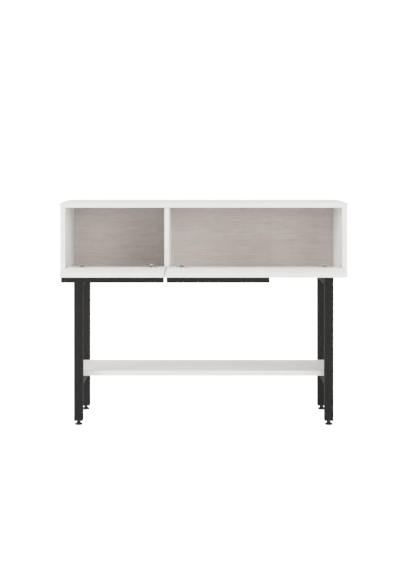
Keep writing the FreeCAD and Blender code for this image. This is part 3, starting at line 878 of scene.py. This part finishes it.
@dataclass
class SquareTube:
    """A length of square steel tube with rolled corners, standing in for a sharp-cornered node.

    Attributes:
        node: The node that it replaces.
        along: The axis that it runs along.
        wall: Wall thickness.
        corner: Outer corner radius.
        ease: Chamfer of the cut ends.
    """

    node: str
    along: Axis
    wall: float = 1.5 * MM
    corner: float = 2.2 * MM
    ease: float = 0.3 * MM

    def build(self, finish: Finish) -> None:
        """Make the tube and put it in its node's place.

        Args:
            finish: The tube's finish.
        """
        low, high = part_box(self.node)
        centre = (Vector(low) + Vector(high)) / 2
        size = Vector(high) - Vector(low)
        index = "XYZ".index(self.along.name)
        first, second = [Axis[name].vector for name in "XYZ" if name != self.along.name]
        width, height = size.dot(first), size.dot(second)
        half = self.along.vector * size[index] / 2
        eased_ends = (
            (-half, 0.0, self.ease), (-half, self.ease, 0.0), (half, -self.ease, 0.0), (half, 0.0, self.ease),
        )
        rings = []
        for end, shift, inset in eased_ends:
            outer = rounded_rectangle(width - 2 * inset, height - 2 * inset, self.corner - inset)
            middle = centre + end + self.along.vector * shift
            rings.append([middle + first * u + second * v for u, v in outer])
        inner = rounded_rectangle(width - 2 * self.wall, height - 2 * self.wall, self.corner - self.wall)
        for end in (half, -half):
            rings.append([centre + end + first * u + second * v for u, v in inner])
        rings.append(rings[0])
        mesh = bmesh.new()
        loft(mesh, rings, caps=False)
        bmesh.ops.remove_doubles(mesh, verts=mesh.verts, dist=MERGE_DISTANCE)
        piece = new_piece(f"{self.node}_tube", mesh, finish)
        walls = piece.modifiers.new("flat_walls", "WEIGHTED_NORMAL")
        walls.keep_sharp = True
        ride_and_slot(piece, "table", Slot.STEEL, self.node)


@dataclass
class SideFrames:
    """Two welded side frames with the shelf, plugs and screws.

    Attributes:
        nodes: The dresser of carried nodes.
        weld_radius: Size of the weld beads between the tubes.
        weld_margin: Distance from a bead's end to the rail's edge.
        ripples: Ripples to a bead.
        bead_sides: Facets round a bead.
    """

    nodes: CarriedNodes
    weld_radius: float = 1.3 * MM
    weld_margin: float = 3.0 * MM
    ripples: int = 26
    bead_sides: int = 8

    def build(self) -> None:
        """Make the tubes and weld beads, and dress the rest."""
        steel = self.nodes.palette.steel
        for side in ("left", "right"):
            for place in ("front", "back"):
                SquareTube(f"{place}_{side}_leg", Axis.Z).build(steel)
            for rail in ("top_rail", "lower_rail"):
                SquareTube(f"{side}_{rail}", Axis.Y).build(steel)
                self.weld(f"{side}_{rail}")
        self.nodes.dress("shelf", Slot.BOARD)
        self.nodes.dress("frame_screws", Slot.NICKEL)
        self.nodes.dress("shelf_screws", Slot.NICKEL)
        self.nodes.dress("leg_plugs", Slot.PLASTIC, 0.4 * MM)
        self.nodes.dress("threaded_inserts", Slot.ZINC, 0.3 * MM)

    def weld(self, rail: str) -> None:
        """Lay ground-down weld beads up both sides of a rail's two ends.

        Args:
            rail: The rail's node.
        """
        low, high = (Vector(corner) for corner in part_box(rail))
        mesh = bmesh.new()
        for end_y, inward in ((low.y, 1.0), (high.y, -1.0)):
            for side_x, outward in ((low.x, -1.0), (high.x, 1.0)):
                rings = []
                for step in range(self.ripples * 2 + 1):
                    share = step / (self.ripples * 2)
                    height = low.z + self.weld_margin + share * (high.z - low.z - 2 * self.weld_margin)
                    foot = Vector((side_x, end_y, height))
                    rings.append(self.bead_ring(foot, outward, inward, self.bead_size(step, share)))
                loft(mesh, rings)
        piece = new_piece(f"{rail}_welds", mesh, self.nodes.palette.steel)
        ride_and_slot(piece, "table", Slot.STEEL)

    def bead_size(self, step: int, share: float) -> float:
        """Return the bead's size: rippled, and thinner towards its two ends.

        Args:
            step: Count of half ripples from its start.
            share: Share of its length from its start.

        Returns:
            The size there.
        """
        ripple = 0.86 + 0.14 * (step % 2)
        taper = min(1.0, 9 * min(share, 1 - share) + 0.25)
        return self.weld_radius * ripple * taper

    def bead_ring(self, foot: Vector, outward: float, inward: float, size: float) -> list[Vector]:
        """Return one ring of a bead, flattened and half sunk in the corner.

        Args:
            foot: A point in the corner between the two tubes.
            outward: Which way is out of the rail's side, along X.
            inward: Which way the rail runs, along Y.
            size: The bead's size there.

        Returns:
            The ring's points.
        """
        ring = []
        for turn in range(self.bead_sides):
            angle = math.tau * turn / self.bead_sides
            sideways = outward * size * (0.45 * math.cos(angle) - 0.35)
            ring.append(foot + Vector((sideways, inward * size * math.sin(angle) * 0.9, 0.0)))
        return ring


@dataclass
class LevellingFoot:
    """A screw-adjusted foot: a turned plastic pad and a blackened steel stem with a hexagon and a thread.

    Attributes:
        palette: The table's finishes.
        place: Which foot, such as front_left.
        rim: Height of the pad's upright rim.
        ease: Rounding of the rim.
        neck: Radius of the pad's neck.
        bore: Radius of the hole in the pad.
        hexagon: Height of the hexagon.
        flats: Width of the hexagon over its flats.
        chamfer: Chamfer of the hexagon.
        pitch: The thread's pitch.
        core: Radius at the thread's root.
        crest: Radius at the thread's crest.
        sides: Facets round the thread.
    """

    palette: Palette
    place: str
    rim: float = 6.0 * MM
    ease: float = 0.8 * MM
    neck: float = 7.5 * MM
    bore: float = 4.05 * MM
    hexagon: float = 5.5 * MM
    flats: float = 13.0 * MM
    chamfer: float = 0.7 * MM
    pitch: float = 1.25 * MM
    core: float = 3.4 * MM
    crest: float = 3.95 * MM
    sides: int = 16

    def build(self) -> None:
        """Make the pad and the stem."""
        pad_low, pad_high = (Vector(corner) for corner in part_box(f"{self.place}_foot_pad"))
        foot = Vector(((pad_low.x + pad_high.x) / 2, (pad_low.y + pad_high.y) / 2, 0.0))
        self.pad(foot, pad_high.z, (pad_high.x - pad_low.x) / 2)
        stem_high = Vector(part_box(f"{self.place}_foot_stem")[1])
        self.stem(foot, pad_high.z, stem_high.z)

    def pad(self, foot: Vector, height: float, radius: float) -> None:
        """Turn the pad with a rounded rim and a hollow cone.

        Args:
            foot: The foot's centre on the floor.
            height: The pad's height.
            radius: The pad's radius.
        """
        rim, ease, neck, bore = self.rim, self.ease, self.neck, self.bore
        profile = [
            (radius - 2.5 * ease, 0.0), (radius - ease, 0.15 * MM), (radius - 0.25 * ease, ease * 0.6),
            (radius, ease * 1.5), (radius, rim - ease), (radius - 0.3 * ease, rim - 0.2 * ease),
            (radius - 1.4 * ease, rim + 0.25 * MM), (radius * 0.72, rim + 1.5 * MM),
            (neck + 1.0 * MM, height - 1.9 * MM), (neck + 0.2 * MM, height - 0.8 * MM),
            (neck - 0.1 * MM, height - 0.25 * MM), (neck - 0.6 * MM, height), (bore + 0.3 * MM, height),
            (bore, height - 0.3 * MM), (bore, 0.8 * MM), (bore * 0.5, 0.4 * MM),
        ]
        mesh = bmesh.new()
        lathe(mesh, foot, profile)
        piece = new_piece(f"{self.place}_foot_pad_turned", mesh, self.palette.plastic)
        ride_and_slot(piece, f"{self.place}_foot", Slot.PLASTIC, f"{self.place}_foot_pad")

    def stem(self, foot: Vector, base: float, top: float) -> None:
        """Make the stem: a chamfered hexagon and a threaded shank.

        Args:
            foot: The foot's centre on the floor.
            base: Height of the pad's top.
            top: Height of the stem's end.
        """
        mesh = bmesh.new()
        low = base + 0.1 * MM
        high = low + self.hexagon
        self.hexagon_head(mesh, foot, low, high)
        self.thread(mesh, foot, high, top)
        shank = [(self.crest - 0.05 * MM, base - 5.0 * MM), (self.crest - 0.05 * MM, low + 0.1 * MM)]
        lathe(mesh, foot, shank, self.sides)
        piece = new_piece(f"{self.place}_foot_stem_threaded", mesh, self.palette.oxide, smooth=False)
        ride_and_slot(piece, f"{self.place}_screw", Slot.OXIDE, f"{self.place}_foot_stem")

    def hexagon_head(self, mesh: bmesh.types.BMesh, foot: Vector, low: float, high: float) -> None:
        """Make the chamfered hexagon.

        Args:
            mesh: Where it goes.
            foot: The foot's centre on the floor.
            low: Height of its underside.
            high: Height of its top.
        """
        corner = self.flats / math.sqrt(3)
        levels = (
            (low, corner - self.chamfer), (low + self.chamfer, corner),
            (high - self.chamfer, corner), (high, corner - self.chamfer),
        )
        rings = []
        for height, radius in levels:
            ring = []
            for index in range(6):
                turn = math.tau * index / 6
                ring.append(foot + Vector((radius * math.cos(turn), radius * math.sin(turn), height)))
            rings.append(ring)
        loft(mesh, rings)

    def thread(self, mesh: bmesh.types.BMesh, foot: Vector, low: float, top: float) -> None:
        """Turn the threaded shank, as rings at the thread's pitch.

        Args:
            mesh: Where it goes.
            foot: The foot's centre on the floor.
            low: Height of the hexagon's top.
            top: Height of the stem's end.
        """
        profile = [(self.core, low - 0.2 * MM)]
        for index in range(int((top - low) / self.pitch)):
            middle = low + (index + 0.5) * self.pitch
            profile.append((self.core, middle - 0.45 * self.pitch))
            profile.append((self.crest, middle - 0.06 * self.pitch))
            profile.append((self.crest, middle + 0.06 * self.pitch))
        profile.append((self.core, top - 0.4 * MM))
        profile.append((self.core - 0.8 * MM, top - 0.05 * MM))
        lathe(mesh, foot, profile, self.sides)


@dataclass(frozen=True)
class LightPanel:
    """A square light panel aimed at the table.

    Attributes:
        name: The light's name.
        place: Where it hangs.
        size: Its side.
        power: Its power in watts.
    """

    name: str
    place: tuple[float, float, float]
    size: float
    power: float

    def hang(self, target: Vector) -> None:
        """Hang the panel.

        Args:
            target: The point it is aimed at.
        """
        light = bpy.data.lights.new(self.name, "AREA")
        light.size = self.size
        light.energy = self.power
        lamp = bpy.data.objects.new(self.name, light)
        bpy.context.scene.collection.objects.link(lamp)
        lamp.location = self.place
        aim = target - Vector(self.place)
        lamp.rotation_euler = aim.to_track_quat("-Z", "Y").to_euler()


@dataclass
class Studio:
    """The floor, the lights, the film and the camera.

    Attributes:
        front_y: Plane of the case's front.
        eye_distance: The camera's distance from that plane.
        eye_height: The camera's height.
        focal_length: In millimetres on the default sensor.
        shift: The lens's shift, sideways and upright.
        far_limit: How far the camera sees.
        aim_height: Height of the point on the case's front that the panels are aimed at.
        surround: Strength of the white surround as a light.
        backdrop: Strength of the white surround as the camera sees it.
        floor_half: Half of the floor's side.
        floor_drop: How far the floor lies below the feet.
        floor_glow: Glow of the floor as the camera sees it.
        film_white: The brightest level that the film tells apart.
        film_gain: How bright the film shows a level of 1.
        shoulder: Level at which the film's response is bending over.
        panels: The light panels.
    """

    front_y: float
    eye_distance: float = 4.593
    eye_height: float = 1.0357
    focal_length: float = 75.61
    shift: tuple[float, float] = (-0.0065, -0.2255)
    far_limit: float = 100.0
    aim_height: float = 0.6
    surround: float = 0.47
    backdrop: float = 3.5
    floor_half: float = 30.0
    floor_drop: float = 0.5 * MM
    floor_glow: float = 2.8
    film_white: float = 3.1
    film_gain: float = 0.7
    shoulder: float = 0.8
    panels: tuple[LightPanel, ...] = (
        LightPanel("overhead", (0.0, 0.3, 4.0), 2.0, 124.0),
        LightPanel("left_side", (-4.0, -2.0, 1.4), 1.6, 173.0),
        LightPanel("right_side", (4.0, -2.0, 1.4), 1.6, 97.0),
        LightPanel("right_front", (2.6, -4.4, 1.5), 1.8, 83.0),
        LightPanel("low_left", (-1.2, 0.12, 0.4), 0.3, 9.5),
    )

    def build(self) -> None:
        """Set the stage."""
        self.floor()
        self.lights()
        self.film()
        self.camera()

    def floor(self) -> None:
        """Lay a pale floor that glows for the camera alone."""
        half = self.floor_half
        mesh = bmesh.new()
        corners = ((-half, -half), (half, -half), (half, half), (-half, half))
        mesh.faces.new([mesh.verts.new((x, y, -self.floor_drop)) for x, y in corners])
        data = bpy.data.meshes.new("floor")
        mesh.to_mesh(data)
        mesh.free()
        floor = bpy.data.objects.new("floor", data)
        bpy.context.scene.collection.objects.link(floor)
        material = bpy.data.materials.new("pale_floor")
        shading = Shading(material)
        shading.dress(Base_Color=(0.86, 0.86, 0.86, 1.0), Roughness=0.9, Specular_IOR_Level=0.1)
        seen = shading.node("LightPath").outputs["Is Camera Ray"]
        glow = shading.math("MULTIPLY", seen, self.floor_glow)
        shading.dress(Emission_Color=(1.0, 1.0, 1.0, 1.0), Emission_Strength=glow)
        self.clear_from_below(material)
        data.materials.append(material)

    def clear_from_below(self, material: bpy.types.Material) -> None:
        """Let the floor be seen through from underneath, so that the table's underside shows.

        Args:
            material: The floor's material.
        """
        tree = material.node_tree
        output = next(node for node in tree.nodes if node.type == "OUTPUT_MATERIAL")
        surface = next(node for node in tree.nodes if node.type == "BSDF_PRINCIPLED")
        choice = tree.nodes.new("ShaderNodeMixShader")
        underneath = tree.nodes.new("ShaderNodeNewGeometry").outputs["Backfacing"]
        tree.links.new(underneath, choice.inputs[0])
        tree.links.new(surface.outputs[0], choice.inputs[1])
        tree.links.new(tree.nodes.new("ShaderNodeBsdfTransparent").outputs[0], choice.inputs[2])
        tree.links.new(choice.outputs[0], output.inputs["Surface"])

    def lights(self) -> None:
        """Set an even white surround, a panel overhead, three round the table and a low one at the shelf."""
        world = bpy.data.worlds.new("studio")
        world.use_nodes = True
        bpy.context.scene.world = world
        background = world.node_tree.nodes["Background"]
        background.inputs["Color"].default_value = (1.0, 1.0, 1.0, 1.0)
        tree = world.node_tree
        seen = tree.nodes.new("ShaderNodeLightPath").outputs["Is Camera Ray"]
        level = tree.nodes.new("ShaderNodeMapRange")
        tree.links.new(seen, level.inputs["Value"])
        level.inputs["To Min"].default_value = self.surround
        level.inputs["To Max"].default_value = self.backdrop
        tree.links.new(level.outputs["Result"], background.inputs["Strength"])
        target = Vector((0.0, self.front_y, self.aim_height))
        for panel in self.panels:
            panel.hang(target)

    def film(self) -> None:
        """Give the picture a film's response: quick in the shadows, with a soft shoulder in the whites."""
        view = bpy.context.scene.view_settings
        view.view_transform = "Standard"
        view.use_curve_mapping = True
        mapping = view.curve_mapping
        mapping.white_level = (self.film_white,) * 3
        points = mapping.curves[3].points
        levels = [self.film_white * step ** 2 for step in (0.1, 0.2, 0.3, 0.4, 0.55, 0.7, 0.85)]
        for level in levels:
            points.new(level / self.film_white, self.response(level))
        points[0].location = (0.0, 0.0)
        points[len(points) - 1].location = (1.0, self.response(self.film_white))
        mapping.update()

    def response(self, level: float) -> float:
        """Return how bright the film shows a level of light.

        Args:
            level: The light, in the scene's own units.

        Returns:
            The shown brightness, with 1 as white.
        """
        return (1.0 + self.shoulder) * self.film_gain * level / (level + self.shoulder)

    def camera(self) -> None:
        """Stand the camera level in front of the table, its lens shifted to frame it."""
        data = bpy.data.cameras.new("camera")
        data.lens = self.focal_length
        data.shift_x, data.shift_y = self.shift
        data.clip_end = self.far_limit
        camera = bpy.data.objects.new("camera", data)
        bpy.context.scene.collection.objects.link(camera)
        camera.location = (0.0, self.front_y - self.eye_distance, self.eye_height)
        camera.rotation_euler = (math.radians(90.0), 0.0, 0.0)
        bpy.context.scene.camera = camera


def main() -> None:
    """Build the table's looks in order."""
    logging.basicConfig(level=logging.INFO, format="%(message)s")
    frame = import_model()
    palette = Palette()
    nodes = CarriedNodes(frame, palette)
    Studio(front_y=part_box("bottom_panel")[0][1]).build()
    BoardCase(nodes).build()
    for side in ("left", "right"):
        FlapDoor(nodes, side).build()
        for place in ("outer", "inner"):
            Hinge(nodes, f"{side}_{place}").build()
    nodes.dress("hinge_arm_screws", Slot.NICKEL)
    nodes.dress("hinge_plate_screws", Slot.NICKEL)
    SideFrames(nodes).build()
    for place in ("front_left", "front_right", "back_left", "back_right"):
        LevellingFoot(palette, place).build()


if __name__ == "__main__":
    main()
